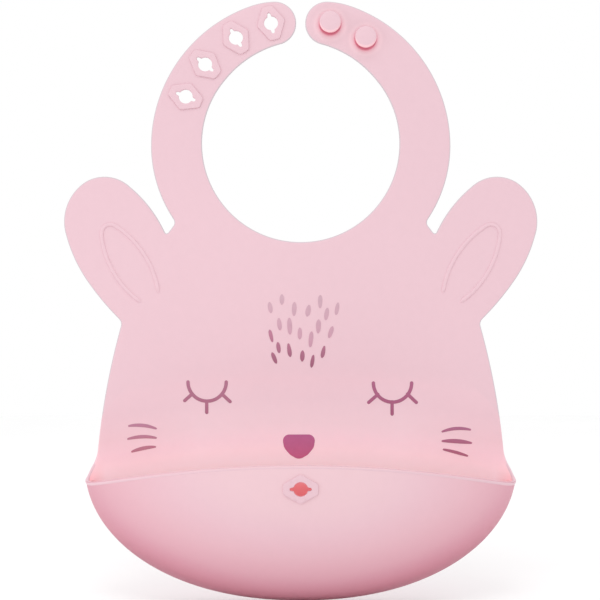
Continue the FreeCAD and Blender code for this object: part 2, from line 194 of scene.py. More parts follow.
def sheet_outline():
    right = side_outline()
    left = [(-x, z) for x, z in reversed(right[1:])]
    return turned(right + [fold_point(a) for a in bowl_angles()] + left, True)


def turned(loop, ccw):
    """The loop, run anticlockwise or clockwise."""
    x, z = np.array(loop).T
    twice_area = float(np.sum(x * np.roll(z, -1) - np.roll(x, -1) * z))
    return loop if (twice_area > 0) == ccw else loop[::-1]


# ---- plates ----

def inward(loop):
    """Unit-thickness inset of each corner of a closed loop, to the left of travel."""
    p = np.array(loop)
    ahead = np.roll(p, -1, 0) - p
    ahead /= np.hypot(*ahead.T)[:, None]
    back = np.roll(ahead, 1, 0)
    n1 = np.stack([-ahead[:, 1], ahead[:, 0]], 1)
    n0 = np.stack([-back[:, 1], back[:, 0]], 1)
    both = n0 + n1
    return both / np.maximum((both * n1).sum(1), 0.35)[:, None]


def ring_sides(loop):
    """Each member of a closed loop with the next one."""
    return zip(loop, loop[1:] + loop[:1])


def inside(points, loops):
    """Which points lie in the material, by counting edges crossed."""
    x, z = np.array(points).T
    result = np.zeros(len(x), bool)
    for loop in loops:
        for (ax, az), (bx, bz) in ring_sides(loop):
            if az != bz:
                result ^= ((az > z) != (bz > z)) & (x < (bx - ax) * (z - az) / (bz - az) + ax)
    return result


def rounding(radius, steps=5):
    """Inset and depth along an edge, from its flat face outwards."""
    turns = [math.pi / 2 * k / steps for k in range(steps + 1)] if radius else [0]
    return [(radius * (1 - math.sin(a)), radius * (1 - math.cos(a))) for a in turns]


def profile(y_front, y_back, round_front, round_back):
    """Edge section from the front face to the back: inset from the outline, and y."""
    rows = [(inset, y_front + depth) for inset, depth in rounding(round_front)]
    return rows + [(inset, y_back - depth) for inset, depth in reversed(rounding(round_back))]


def seam_line(edge, face_edge, ends, spacing):
    """The outline corners nearest a seam's ends, and the points between them."""
    a, b = [int(np.argmin(np.hypot(*(edge - np.array(end)).T))) for end in ends]
    n = max(2, round(np.hypot(*(face_edge[b] - face_edge[a])) / spacing))
    return a, b, [tuple(face_edge[a] + (face_edge[b] - face_edge[a]) * i / n) for i in range(1, n)]


def fill_grid(edge, rims, taken, spacing):
    """Staggered grid of points in the material, clear of the points already taken."""
    low, high = edge.min(0), edge.max(0)
    grid = [(x + (spacing / 2 if row % 2 else 0), z)
            for row, z in enumerate(np.arange(low[1], high[1], spacing * math.sqrt(3) / 2))
            for x in np.arange(low[0], high[0], spacing)]
    tree = KDTree(len(taken))
    for i, (x, z) in enumerate(taken):
        tree.insert((x, z, 0), i)
    tree.balance()
    return [p for p, ok in zip(grid, inside(grid, rims))
            if ok and tree.find((*p, 0))[2] > spacing * 0.55]


def triangulated(flat, ties, rims):
    """Anticlockwise triangles over the material."""
    made = delaunay_2d_cdt([Vector(p) for p in flat], ties, [], 0, 1e-6)
    origin = [sources[0] if sources else None for sources in made[3]]
    faces = [[origin[v] for v in face] for face in made[2] if len(face) == 3]
    triangles = np.array([face for face in faces if None not in face])
    triangles = triangles[inside(np.array(flat)[triangles].mean(1), rims)]
    corner = np.array(flat)[triangles]
    d1, d2 = corner[:, 1] - corner[:, 0], corner[:, 2] - corner[:, 0]
    wrong = d1[:, 0] * d2[:, 1] - d1[:, 1] * d2[:, 0] < 0
    triangles[wrong] = triangles[wrong][:, ::-1]
    return triangles


def plate_parts(loops, y_front, y_back, round_front, round_back, spacing, seams=(), seeds=None):
    """Flat sheet with rounded edges, cut along seams into closed parts.

    loops: the outline, then any holes.  seams: pairs of (x, z) ends of cuts, which
    snap to the nearest outline corner.  seeds: name of each part and a point in it.
    Returns name: (points, faces, cut faces), one part named "" without seeds.
    """
    loops = [turned(loop, i == 0) for i, loop in enumerate(loops)]
    layers = profile(y_front, y_back, round_front, round_back)
    edge = np.vstack([np.array(loop) for loop in loops])
    inset = np.vstack([inward(loop) for loop in loops])
    starts = np.cumsum([0] + [len(loop) for loop in loops])
    spans = list(zip(starts, starts[1:]))
    after = np.concatenate([np.roll(np.arange(*span), -1) for span in spans]).tolist()
    face_edge = edge + inset * layers[0][0]
    rims = [list(map(tuple, face_edge[start:stop])) for start, stop in spans]
    flat = [tuple(p) for p in face_edge]
    cuts = []
    for ends in seams:
        a, b, line = seam_line(edge, face_edge, ends, spacing)
        cuts.append([a, *range(len(flat), len(flat) + len(line)), b])
        flat += line
    flat += fill_grid(edge, rims, flat, spacing)
    ties = list(enumerate(after)) + [tie for line in cuts for tie in zip(line, line[1:])]
    triangles = triangulated(flat, ties, rims)
    label = part_labels(triangles, cuts)
    groups = {"": 0}
    if seeds:
        centres = np.array(flat)[triangles].mean(1)
        groups = {name: label[int(np.argmin(np.hypot(*(centres - np.array(p)).T)))]
                  for name, p in seeds.items()}
    ring, inner = len(edge), flat[len(edge):]
    points = [(p[0], y, p[1]) for depth, y in layers for p in edge + inset * depth]
    front = [*range(ring), *range(len(points), len(points) + len(inner))]
    back = [v + ring * (len(layers) - 1) if v < ring else v + len(inner) for v in front]
    points += [(x, y, z) for y in (y_front, y_back) for x, z in inner]
    owner = {side: label[t] for t, tri in enumerate(triangles.tolist()) for side in ring_sides(tri)}
    parts = {}
    for name, wanted in groups.items():
        faces = []
        for tri in triangles[np.array(label) == wanted]:
            faces += [[front[v] for v in tri], [back[v] for v in tri[::-1]]]
        for i, j in enumerate(after):
            if owner.get((i, j)) == wanted:
                faces += [[i + k, i + k + ring, j + k + ring, j + k]
                          for k in range(0, ring * (len(layers) - 1), ring)]
        caps = [cap for line in cuts for cap in cut_faces(line, wanted, owner, front, back, ring)]
        parts[name] = (points, faces, caps)
    return parts


def cut_faces(line, wanted, owner, front, back, ring):
    """Faces that close the wanted part along one cut."""
    caps = []
    for a, b in zip(line, line[1:]):
        if owner.get((a, b)) == wanted:
            caps.append([front[b], front[a], back[a], back[b]])
        if owner.get((b, a)) == wanted:
            caps.append([front[a], front[b], back[b], back[a]])
    for end, near in ((line[0], line[1]), (line[-1], line[-2])):
        if wanted in (owner.get((end, near)), owner.get((near, end))):
            column = list(range(end, back[end] + 1, ring))
            caps.append(column if owner.get((end, near)) == wanted else column[::-1])
    return caps


def part_labels(triangles, cuts):
    """Numbers the areas that the cuts divide the triangles into."""
    walls = {frozenset(side) for line in cuts for side in zip(line, line[1:])}
    across = {}
    for t, tri in enumerate(triangles.tolist()):
        for side in ring_sides(tri):
            across.setdefault(frozenset(side), []).append(t)
    near = [[] for _ in triangles]
    for side, pair in across.items():
        if len(pair) == 2 and side not in walls:
            near[pair[0]].append(pair[1])
            near[pair[1]].append(pair[0])
    label, areas = [-1] * len(triangles), 0
    for first in range(len(triangles)):
        if label[first] < 0:
            stack = [first]
            while stack:
                t = stack.pop()
                if label[t] < 0:
                    label[t] = areas
                    stack += near[t]
            areas += 1
    return label


@contextmanager
def edited(data):
    """A mesh opened for a change to its points, edges and faces."""
    shell = bmesh.new()
    shell.from_mesh(data)
    yield shell
    shell.to_mesh(data)
    shell.free()


def placed(name, data, place=(0, 0, 0), turn=(0, 0, 0)):
    """An object put into the scene."""
    thing = bpy.data.objects.new(name, data)
    thing.location, thing.rotation_euler = place, turn
    bpy.context.scene.collection.objects.link(thing)
    return thing


def mesh_piece(name, points, faces, material=None, caps=()):
    """A mesh object from millimetre points: faces are smooth, caps flat, unused points left out."""
    used = sorted({v for f in [*faces, *caps] for v in f})
    number = {v: i for i, v in enumerate(used)}
    data = bpy.data.meshes.new(name)
    data.from_pydata([tuple(c * MM for c in points[v]) for v in used], [],
                     [[number[v] for v in f] for f in [*faces, *caps]])
    with edited(data) as shell:
        for n, face in enumerate(shell.faces):
            face.smooth = n < len(faces)
            if not face.smooth:
                for side in face.edges:
                    side.smooth = False
        bmesh.ops.recalc_face_normals(shell, faces=shell.faces)
    if material:
        data.materials.append(material)
    return placed(name, data)


# ---- materials ----

def linear(r, g, b):
    """Linear colour, with alpha, of an sRGB one given as 0 to 255."""
    return (*(c / 12.92 if c <= 0.04045 else ((c + 0.055) / 1.055) ** 2.4
              for c in (v / 255 for v in (r, g, b))), 1)


def mount(name):
    found = next(m for m in frame["record"]["mounts"] if m["name"] == name)
    return np.array(found["pos_m"]) / MM


STUDS = [mount("stud_outer_head"), mount("stud_inner_head")]
STUD_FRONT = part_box("stud_outer")[0][1] / MM
PAINT_PLACE = "moulded_place"
EDGE_SHARE = "edge_share"


def keep_place(piece):
    """Stores each point's place at rest, and a share that grows over the sheet's rounded edge.

    The materials read both, so colours don't slide when a piece bends.
    """
    at = np.array([point.co for point in piece.data.vertices])
    place = piece.data.attributes.new(PAINT_PLACE, "FLOAT_VECTOR", "POINT")
    place.data.foreach_set("vector", at.ravel())
    gap = np.full(len(at), np.inf)
    for p, q in ring_sides(OUTLINE):
        p, run = np.array(p), np.array(q) - np.array(p)
        away = at[:, [0, 2]] / MM - p
        along = np.clip(away @ run / max(run @ run, 1e-9), 0, 1)
        gap = np.minimum(gap, np.hypot(*(away - along[:, None] * run).T))
    share = piece.data.attributes.new(EDGE_SHARE, "FLOAT", "POINT")
    share.data.foreach_set("value", np.clip(1 - gap / EDGE_ROUND, 0, 1))


class Shader:
    """A Principled material and short ways to add nodes to it."""

    def __init__(self, name, roughness, specular):
        self.material = bpy.data.materials.new(name)
        self.material.use_nodes = True
        self.tree = self.material.node_tree
        self.surface = self.tree.nodes["Principled BSDF"]
        self.fill(self.surface, {"Roughness": roughness, "Specular IOR Level": specular})
        self.place = self.add("Attribute", attribute_name=PAINT_PLACE).outputs["Vector"]
        self.x, self.y, self.z = self.add("SeparateXYZ", {0: self.place}).outputs

    def add(self, kind, inputs=None, **settings):
        node = self.tree.nodes.new("ShaderNode" + kind)
        for key, value in settings.items():
            setattr(node, key, value)
        self.fill(node, inputs or {})
        return node

    def fill(self, node, inputs):
        """Links or sets a node's inputs."""
        for key, value in inputs.items():
            if isinstance(value, bpy.types.NodeSocket):
                self.tree.links.new(value, node.inputs[key])
            else:
                node.inputs[key].default_value = value

    def maths(self, operation, a, b=0.0):
        return self.add("Math", {0: a, 1: b}, operation=operation).outputs[0]

    def plus(self, a, b):
        return self.maths("ADD", a, b)

    def times(self, a, b):
        return self.maths("MULTIPLY", a, b)

    def spread(self, value, low, high, to_low=0.0, to_high=1.0, smooth=False):
        """The value's place from low to high, as a share or from to_low to to_high."""
        kind = "SMOOTHSTEP" if smooth else "LINEAR"
        return self.add("MapRange", {"Value": value, "From Min": low, "From Max": high,
                                     "To Min": to_low, "To Max": to_high},
                        interpolation_type=kind).outputs["Result"]

    def noise(self, scale, detail):
        return self.add("TexNoise", {"Vector": self.place, "Scale": scale, "Detail": detail}).outputs["Fac"]

    def blend(self, share, first, second, kind="MIX"):
        mix = self.add("Mix", {0: share, 6: first, 7: second}, data_type="RGBA", blend_type=kind)
        return mix.outputs[2]

    def reach(self, x, y, z):
        """Distance from a point given in millimetres."""
        return self.add("VectorMath", {0: self.place, 1: (x * MM, y * MM, z * MM)},
                        operation="DISTANCE").outputs["Value"]

    def ramp(self, value, stops):
        """Colour that runs through (position, sRGB colour) stops."""
        node = self.add("ValToRGB", {"Fac": value})
        elements = node.color_ramp.elements
        while len(elements) < len(stops):
            elements.new(0.5)
        for element, (position, colour) in zip(elements, stops):
            element.position = position
            element.color = linear(*colour)
        return node.outputs["Color"]

    def finish(self, colour, drift, grain, relief, shine):
        """Base colour with uneven value, micro relief and uneven roughness."""
        uneven = self.plus(self.spread(self.noise(9.0, 2.0), 0.3, 0.7, 1 - drift, 1 + drift),
                           self.spread(self.noise(grain, 3.0), 0.3, 0.7, -drift, drift))
        tone = self.add("HueSaturation", {"Value": uneven, "Color": colour}).outputs["Color"]
        normal = {}
        for scale, height in relief:
            bump = {"Height": self.noise(scale, 2.0), "Distance": height, "Strength": 1.0}
            normal = {"Normal": self.add("Bump", bump | normal).outputs["Normal"]}
        rough = self.spread(self.noise(grain * 1.3, 3.0), 0.3, 0.7, *shine)
        self.fill(self.surface, {"Base Color": tone, "Roughness": rough} | normal)
        return self.material


PINK = (224, 190, 199)


def silicone(name, paint=None):
    """Satin pink silicone; paint changes its colour from place to place."""
    shade = Shader(name, 0.5, 0.35)
    colour = shade.ramp(shade.noise(5.0, 1.0), [(0.35, PINK), (0.65, (227, 192, 201))])
    if paint:
        colour = paint(shade, colour)
    return shade.finish(colour, 0.006, 260.0, [(1400.0, 0.00002), (60.0, 0.00006)], (0.44, 0.58))


def pocket_place(shade):
    """How far a point is across and down the pocket's outline; at the fold they add up to 1."""
    across = shade.maths("ABSOLUTE", shade.maths("DIVIDE", shade.x, BOWL_X * MM))
    down = shade.maths("DIVIDE", shade.maths("SUBTRACT", shade.z, BOWL_Z * MM), BOWL_DROP * MM)
    return shade.maths("POWER", across, BOWL_POWER), shade.times(down, down)


def fold_nearness(shade):
    """Grows to about 1 at the fold, and sooner towards the pocket's lower corners."""
    across, down = pocket_place(shade)
    straight = shade.plus(shade.times(across, 0.68), shade.times(down, 0.94))
    both = shade.times(shade.times(across, down), 0.76)
    return shade.plus(straight, both)


def inside_painted_light(shade, outside):
    """Painted light inside the pocket: paler towards the lip, to offset the shade behind the bowl, then a
    painted coral glow lower down, where light has come through the silicone; the paleness is held back at
    the sides and in the corners.
    """
    across, down = pocket_place(shade)
    sink = shade.maths("DIVIDE", shade.times(shade.x, shade.x), 2 * RIM_RADIUS * MM)
    lip = shade.maths("SUBTRACT", RIM_TOP * MM, sink)
    below = shade.spread(shade.maths("SUBTRACT", lip, shade.z), -0.052, 0.024)
    inner = shade.ramp(below, [(0.0, PINK), (0.158, (229, 193, 202)), (0.289, (230, 197, 206)),
                               (0.447, (238, 208, 216)), (0.553, (249, 218, 227)),
                               (0.618, (255, 228, 235)), (0.684, (255, 236, 242)), (0.763, (255, 242, 246)),
                               (0.816, (255, 195, 199)), (0.868, (254, 160, 165)), (1.0, (250, 148, 154))])
    side = shade.spread(shade.maths("ABSOLUTE", shade.x), 0.050, 0.100)
    side = shade.times(side, shade.spread(below, 0.15, 0.45))
    side = shade.times(side, shade.spread(below, 0.58, 0.70, 1.0, 0.5))
    inner = shade.blend(side, inner, (0.95, 0.83, 0.84, 1), "MULTIPLY")
    corner = shade.times(shade.spread(across, 0.80, 0.95), shade.spread(below, 0.55, 0.66))
    inner = shade.blend(corner, inner, linear(252, 198, 204))
    depth = shade.maths("DIVIDE", shade.y, BOWL_Y * MM)
    shell = shade.plus(shade.plus(across, down), shade.times(depth, depth))
    hollow = shade.spread(shell, 0.99, 0.965, smooth=True)
    hollow = shade.times(hollow, shade.spread(shade.y, -0.0002, -0.0005))
    hollow = shade.times(hollow, shade.spread(below, 0.0, 0.15))
    return shade.blend(hollow, outside, inner)


def bowl_painted_shade(shade, colour):
    """Painted shade: deepens towards the fold, where the bowl turns down and away from the light."""
    outside = shade.ramp(fold_nearness(shade),
                         [(0.05, (230, 195, 202)), (0.15, (228, 191, 200)), (0.25, (227, 186, 196)),
                          (0.35, (226, 182, 192)), (0.45, (224, 176, 187)), (0.55, (221, 170, 182)),
                          (0.65, (216, 159, 173)), (0.75, (210, 147, 162)), (0.85, (200, 132, 148)),
                          (0.93, (188, 121, 137)), (1.0, (184, 118, 134))])
    return inside_painted_light(shade, outside)


def edge_painted_sheen(shade, colour):
    """Painted sheen: greyer on the sheet's rounded edge, down to the pocket's corners."""
    share = shade.add("Attribute", attribute_name=EDGE_SHARE).outputs["Fac"]
    share = shade.times(shade.spread(share, 0.05, 0.6), shade.spread(shade.z, -0.170, -0.166))
    return shade.blend(share, colour, linear(206, 192, 198))


def back_paint(shade, colour):
    """Plain pink behind the pocket, with painted shade deep at its fold, a painted sheen on its edge and
    painted light inside the pocket.
    """
    colour = edge_painted_sheen(shade, colour)
    low = shade.times(fold_nearness(shade), shade.spread(shade.z, -0.168, -0.176))
    colour = shade.blend(shade.spread(low, 0.85, 1.0), colour, linear(176, 104, 120))
    return inside_painted_light(shade, colour)


def strap_paint(shade, colour):
    """Painted shadow: a warm crescent under each button, where its shadow falls on the silicone, in a ring
    of painted light a little paler than the pink that offsets the buttons' shade; also the edge's painted
    sheen.
    """
    colour = edge_painted_sheen(shade, colour)
    reach = shade.maths("MINIMUM", *(shade.reach(x, -SHEET, z - 0.7) for x, _, z in STUDS))
    crescent = shade.ramp(shade.spread(reach, 0.0050, 0.0100),
                          [(0.0, (210, 114, 134)), (0.07, (220, 136, 154)), (0.16, (234, 180, 192)),
                           (0.32, (235, 196, 205)), (0.55, (234, 200, 208)), (1.0, PINK)])
    share = shade.times(shade.spread(shade.y, -0.0004, -0.0009), shade.spread(reach, 0.0100, 0.0080))
    return shade.blend(share, colour, crescent)


def stud_painted_highlight(shade, colour):
    """Painted highlight on a button's lower edge, where light gathers."""
    reach = shade.maths("MINIMUM", *(shade.reach(x, STUD_FRONT, z + 0.9) for x, _, z in STUDS))
    return shade.blend(shade.spread(reach, 0.0050, 0.0058), colour, linear(250, 206, 212))


def ink(name, top, low, top_z, low_z):
    """Printed ink, matt and a little uneven, that turns from one colour to another."""
    shade = Shader(name, 0.55, 0.3)
    colour = shade.ramp(shade.spread(shade.z, top_z * MM, low_z * MM), [(0.0, top), (1.0, low)])
    return shade.finish(colour, 0.03, 420.0, [(1800.0, 0.000015)], (0.5, 0.65))


SILICONE = silicone("silicone")
# The pocket, sheet, strap and stud silicones carry painted shade, sheen, shadow, light and highlight.
BOWL_SILICONE = silicone("pocket_bowl_silicone", bowl_painted_shade)
BACK_SILICONE = silicone("pocket_back_silicone", back_paint)
SHEET_SILICONE = silicone("sheet_silicone", edge_painted_sheen)
STRAP_SILICONE = silicone("strap_end_silicone", strap_paint)
STUD_SILICONE = silicone("stud_silicone", stud_painted_highlight)
NOSE_INK = ink("nose_ink", (181, 98, 144), (198, 102, 142), -145, -157)
EYE_INK = {"left": ink("left_eye_ink", (171, 112, 135), (166, 103, 127), -118, -135),
           "right": ink("right_eye_ink", (168, 99, 130), (163, 91, 122), -118, -135)}
WHISKER_INK = {"left": ink("left_whisker_ink", (181, 125, 148), (185, 117, 134), -140, -156),
               "right": ink("right_whisker_ink", (169, 106, 136), (173, 100, 124), -140, -156)}
PALE_INK = ink("pale_fleck_ink", (203, 168, 180), (198, 150, 168), -75, -101)
DARK_INK = ink("dark_fleck_ink", (185, 124, 147), (152, 90, 114), -93, -112)


# ---- moulded sheet ----

COLLAR_SEAM, STRAP_SEAM, POCKET_SEAM = -38.0, -10.0, -122.0
SHEET_MESH = 2.4  # spacing of the sheet's points


def bend(piece):
    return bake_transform(piece)


def clad(piece, *nodes):
    """Shows a silicone piece instead of CAD nodes."""
    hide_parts(*nodes)


def silicone_piece(node, part, name, material=SILICONE):
    points, faces, caps = part
    piece = mesh_piece(name, points, faces, material, caps)
    clad(piece, node)
    return piece


def edge_crossings(loop, z, reach):
    """Where the outline crosses height z, within a reach of the middle, in order of x."""
    found = []
    for a, b in ring_sides(loop):
        if (a[1] - z) * (b[1] - z) < 0:
            x = a[0] + (b[0] - a[0]) * (z - a[1]) / (b[1] - a[1])
            if abs(x) < reach:
                found.append((x, z))
    return sorted(found)


SLOT_ROUND, SLOT_HALF, SLIT_HALF = 3.5, 5.25, 0.8  # hole's radius, slit's half length and half width
SLOT_SPARE = 0.05  # how much wider a slot is in the sheet than in its pad


def rotated(points, x, z, angle):
    """Points turned by an angle and moved to (x, z)."""
    c, s = math.cos(angle), math.sin(angle)
    return [(x + u * c - v * s, z + u * s + v * c) for u, v in points]


def slot_loop(x, z, angle, spare=0.0):
    """Round hole with a round-ended slit across it, its long direction at an angle."""
    radius, half, slit = SLOT_ROUND + spare, SLOT_HALF + spare, SLIT_HALF + spare
    rest = math.asin(slit / radius) + 0.06
    side = [(radius * math.cos(a), radius * math.sin(a)) for a in np.linspace(rest, math.pi - rest, 24)]
    side += [(-half + slit - slit * math.cos(a), -slit * math.sin(a))
             for a in np.linspace(-math.pi / 2, math.pi / 2, 9)]
    return rotated(side + rotated(side, 0, 0, math.pi), x, z, angle)


SLOTS = [mount("slot_%d_bore" % n) for n in (1, 2, 3, 4)]
OUTLINE = sheet_outline()


def ear_line(side):
    """Ends of the line where an ear leaves the panel, and the way out to the ear."""
    notch, foot = (np.array([x * side, z]) for x, z in (EAR_NOTCH, EAR_FOOT))
    along = (foot - notch) / np.hypot(*(foot - notch))
    out = np.array([-along[1], along[0]]) * side
    return notch, foot, out


def build_sheet():
    rows = [edge_crossings(OUTLINE, COLLAR_SEAM, 66), edge_crossings(OUTLINE, STRAP_SEAM, 78)]
    seams = [(row[i], row[i + 1]) for row in rows for i in (0, 2)]
    sides = edge_crossings(OUTLINE, POCKET_SEAM, 120)
    seams.append((sides[0], sides[-1]))
    seams += [ear_line(side)[:2] for side in SIDES.values()]
    holes = [slot_loop(x, z, math.atan2(z, x), SLOT_SPARE) for x, _, z in SLOTS]
    seeds = {"panel": (0, -90), "pocket_back": (0, -190),
             **{hand + part: (x * side, z) for hand, side in SIDES.items()
                for part, x, z in (("_collar", 58, -20), ("_strap", 62, 5), ("_ear", 105, -40))}}
    parts = plate_parts([OUTLINE, *holes], -SHEET, SHEET, EDGE_ROUND, EDGE_ROUND, SHEET_MESH, seams, seeds)

    def skin(name, node, material):
        return silicone_piece(node, parts[name], name + "_skin", material)

    panel = skin("panel", "bib_panel", BACK_SILICONE)
    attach(panel, "bib_front")
    pocket = skin("pocket_back", "pocket_back", BACK_SILICONE)
    bend(pocket)
    for hand, side in SIDES.items():
        collar = skin(hand + "_collar", hand + "_strap", SHEET_SILICONE)
        bend(collar)
        strap = skin(hand + "_strap", hand + "_strap_end", STRAP_SILICONE)
        bend(strap)
        ear = skin(hand + "_ear", hand + "_ear", SHEET_SILICONE)
        ear_bend(ear)


def ear_bend(piece):
    bend(piece)


build_sheet()


# ---- pocket ----

def rim_height(x):
    """Height of the pocket's lip, which dips and then lifts to the tip at each side."""
    def level(x):
        return RIM_TOP - RIM_RADIUS + math.sqrt(RIM_RADIUS ** 2 - x ** 2)

    angle = math.acos(min(abs(x) / TIP[0], 1))
    return level(x) + (TIP[1] - level(TIP[0])) * math.exp(-(angle / RIM_LIFT) ** 2)


def bowl_depth(x, z, shrink=0.0):
    """How far the bowl stands out, with all its half axes shrunk."""
    level = (abs(x) / (BOWL_X - shrink)) ** BOWL_POWER + ((z - BOWL_Z) / (BOWL_DROP - shrink)) ** 2
    return (BOWL_Y - shrink) * math.sqrt(max(1 - level, 0))


def bowl_columns(shrink, fillet=0.0, rows=30):
    """Columns of points on the bowl, each from the fold up to the lip."""
    columns = []
    angles = bowl_angles()
    first = angles[0]
    for a in angles:
        turn = (a - first) / (math.pi - 2 * first) * math.pi
        turn += RIM_CROWD * math.sin(2 * turn)
        rim_x = TIP[0] * math.cos(turn)
        foot = np.array(fold_point(a, shrink))
        lip = np.array([rim_x * (BOWL_X - shrink) / BOWL_X, rim_height(rim_x)])
        column = []
        for k in range(rows + 1):
            q = foot + (lip - foot) * (1 - math.cos(math.pi / 2 * k / rows))
            depth = bowl_depth(*q, shrink)
            if fillet and depth < SHEET + fillet:
                short = fillet - max(depth - SHEET, 0)
                push = fillet - math.sqrt(fillet ** 2 - short ** 2)
                steep = np.array([math.copysign(abs(q[0] / BOWL_X) ** (BOWL_POWER - 1), q[0]) / BOWL_X,
                                  (q[1] - BOWL_Z) / BOWL_DROP ** 2])
                q = q - steep / np.hypot(*steep) * push
                depth = max(depth, SHEET - OVERLAP)
            column.append((q[0], -depth, q[1]))
        columns.append(column)
    return columns


def build_bowl():
    outer, inner = bowl_columns(0.0), bowl_columns(WALL, FOLD_FILLET)
    rows = len(outer[0])
    points = [p for column in outer + inner for p in column]
    half = len(outer) * rows
    faces = []
    for a in range(0, half - rows, rows):
        b, c, d = a + rows, a + half, a + rows + half
        for k in range(rows - 1):
            faces.append([a + k, b + k, b + k + 1, a + k + 1])
            faces.append([c + k, c + k + 1, d + k + 1, d + k])
        faces.append([k + rows - 1 for k in (a, b, d, c)])
        faces.append([a, c, d, b])
    for a in (0, half - rows):
        faces += [[k, k + 1, k + 1 + half, k + half] for k in range(a, a + rows - 1)]
    bowl = mesh_piece("pocket_bowl_skin", points, faces, BOWL_SILICONE)
    with edited(bowl.data) as shell:
        bmesh.ops.remove_doubles(shell, verts=shell.verts, dist=0.00001)
        bmesh.ops.dissolve_degenerate(shell, edges=shell.edges, dist=0.00001)
        bmesh.ops.recalc_face_normals(shell, faces=shell.faces)
    return bowl


def punch(piece, loop, y_front, y_back):
    """Cuts a prism of the given outline through a piece."""
    n = len(loop)
    points = [(x, y_front, z) for x, z in loop] + [(x, y_back, z) for x, z in loop]
    sides = [[i, (i + 1) % n, n + (i + 1) % n, n + i] for i in range(n)]
    tool = mesh_piece("punch_tool", points, sides + [list(range(n))[::-1], list(range(n, 2 * n))])
    cutter = piece.modifiers.new("slot", "BOOLEAN")
    cutter.object = tool
    cutter.operation = "DIFFERENCE"
    cutter.solver = "EXACT"
    bpy.context.view_layer.update()
    evaluated = piece.evaluated_get(bpy.context.evaluated_depsgraph_get())
    cut = bpy.data.meshes.new_from_object(evaluated)
    piece.modifiers.clear()
    piece.data = cut
    bpy.data.objects.remove(tool)


def crease(piece):
    """Smooth shading, except over sharp edges."""
    with edited(piece.data) as shell:
        for face in shell.faces:
            face.smooth = True
        for side in shell.edges:
            side.smooth = len(side.link_faces) == 2 and side.calc_face_angle() < math.radians(SHARP)


SHARP = 50  # degrees over which an edge is drawn sharp
PUNCH_FRONT, PUNCH_BACK = -50, -25
FRONT_SLOT = mount("pocket_slot_bore")
bowl = build_bowl()
punch(bowl, slot_loop(FRONT_SLOT[0], FRONT_SLOT[2], 0.0, SLOT_SPARE), PUNCH_FRONT, PUNCH_BACK)
crease(bowl)
clad(bowl, "pocket_front", "pocket_gusset")
bend(bowl)


def bead_faces(count, sides):
    """Faces round a bead of that many rings of points, closed at its ends."""
    faces = []
    for i in range(0, (count - 1) * sides, sides):
        for k in range(sides):
            j = (k + 1) % sides
            faces.append([i + k, i + j, i + sides + j, i + sides + k])
    faces.append(list(range(sides))[::-1])
    faces.append([(count - 1) * sides + k for k in range(sides)])
    return faces


def directions(path):
    ahead = np.gradient(path, axis=0)
    return ahead / np.linalg.norm(ahead, axis=1)[:, None]


def tube(name, path, radii, sides=14):
    """Round bead along a path."""
    points = []
    normal = np.array([0.0, 0.0, 1.0])
    for p, ahead, radius in zip(path, directions(path), radii):
        side = np.cross(ahead, normal)
        side /= np.linalg.norm(side)
        normal = np.cross(side, ahead)
        normal /= np.linalg.norm(normal)
        for a in 2 * math.pi * np.arange(sides) / sides:
            points.append(tuple(p + radius * (side * math.cos(a) + normal * math.sin(a))))
    return mesh_piece(name, points, bead_faces(len(path), sides), SILICONE)


RIM_START = -150  # height where the bead sets out down the panel's edge
RIM_INSET, RIM_SINK = 0.85, 0.9  # its line inside that edge, and below the lip
RIM_TIP = (TIP[0] - 0.3, -0.6, TIP[1] - 0.2)  # where it turns from the edge to the lip
RIM_OUT = -3.0  # the lip behind this is left to that turn
RIM_THIN, RIM_SWELL, RIM_FADE = 0.8, 0.28, 14.0  # radius at its ends, what it gains, in how many steps


def rim_path():
    """From the panel's right edge, round the tip, along the lip and up the left."""
    outline = side_outline()
    start = min(range(len(outline)), key=lambda i: abs(outline[i][1] - RIM_START))
    side = [(x - RIM_INSET, 0.0, z) for x, z in outline[start:]]
    lip = [(np.array(outer[-1]) + np.array(inner[-1])) / 2 - np.array([0, 0, RIM_SINK])
           for outer, inner in zip(bowl_columns(0.0), bowl_columns(WALL))]
    half = [p for p in lip if p[0] > 0 and p[1] < RIM_OUT]
    path = side + [RIM_TIP] + half + [(0.0, *lip[len(lip) // 2][1:])]
    return path + [(-x, y, z) for x, y, z in reversed(path[:-1])]


def smoothed(path, step, rounds=3):
    """The path resampled at an even step and eased round its corners."""
    path = np.asarray(path, float)
    for _ in range(2):
        lengths = np.concatenate([[0], np.cumsum(np.linalg.norm(np.diff(path, axis=0), axis=1))])
        even = np.linspace(0, lengths[-1], int(lengths[-1] / step) + 1)
        path = np.stack([np.interp(even, lengths, path[:, c]) for c in range(3)], 1)
        for _ in range(rounds):
            path[1:-1] = (path[:-2] + 2 * path[1:-1] + path[2:]) / 4
    return path


def from_ends(path):
    """How many steps each point is from the path's nearer end."""
    steps = np.arange(len(path))
    return np.minimum(steps, steps[::-1])


rim = smoothed(rim_path(), 1.0, 1)
grow = np.clip(from_ends(rim) / RIM_FADE, 0, 1)
rim_bead = tube("pocket_rim_bead", rim, RIM_THIN + RIM_SWELL * grow)
clad(rim_bead, "pocket_rim", "rim_corner_left", "rim_corner_right")
bend(rim_bead)


# ---- pads and studs ----

PAD_X, PAD_FLAT, PAD_Z = 8.5, 2.5, 7.2
PAD_RISE, PAD_ROUND, PAD_MESH = 0.8, 0.4, 1.2


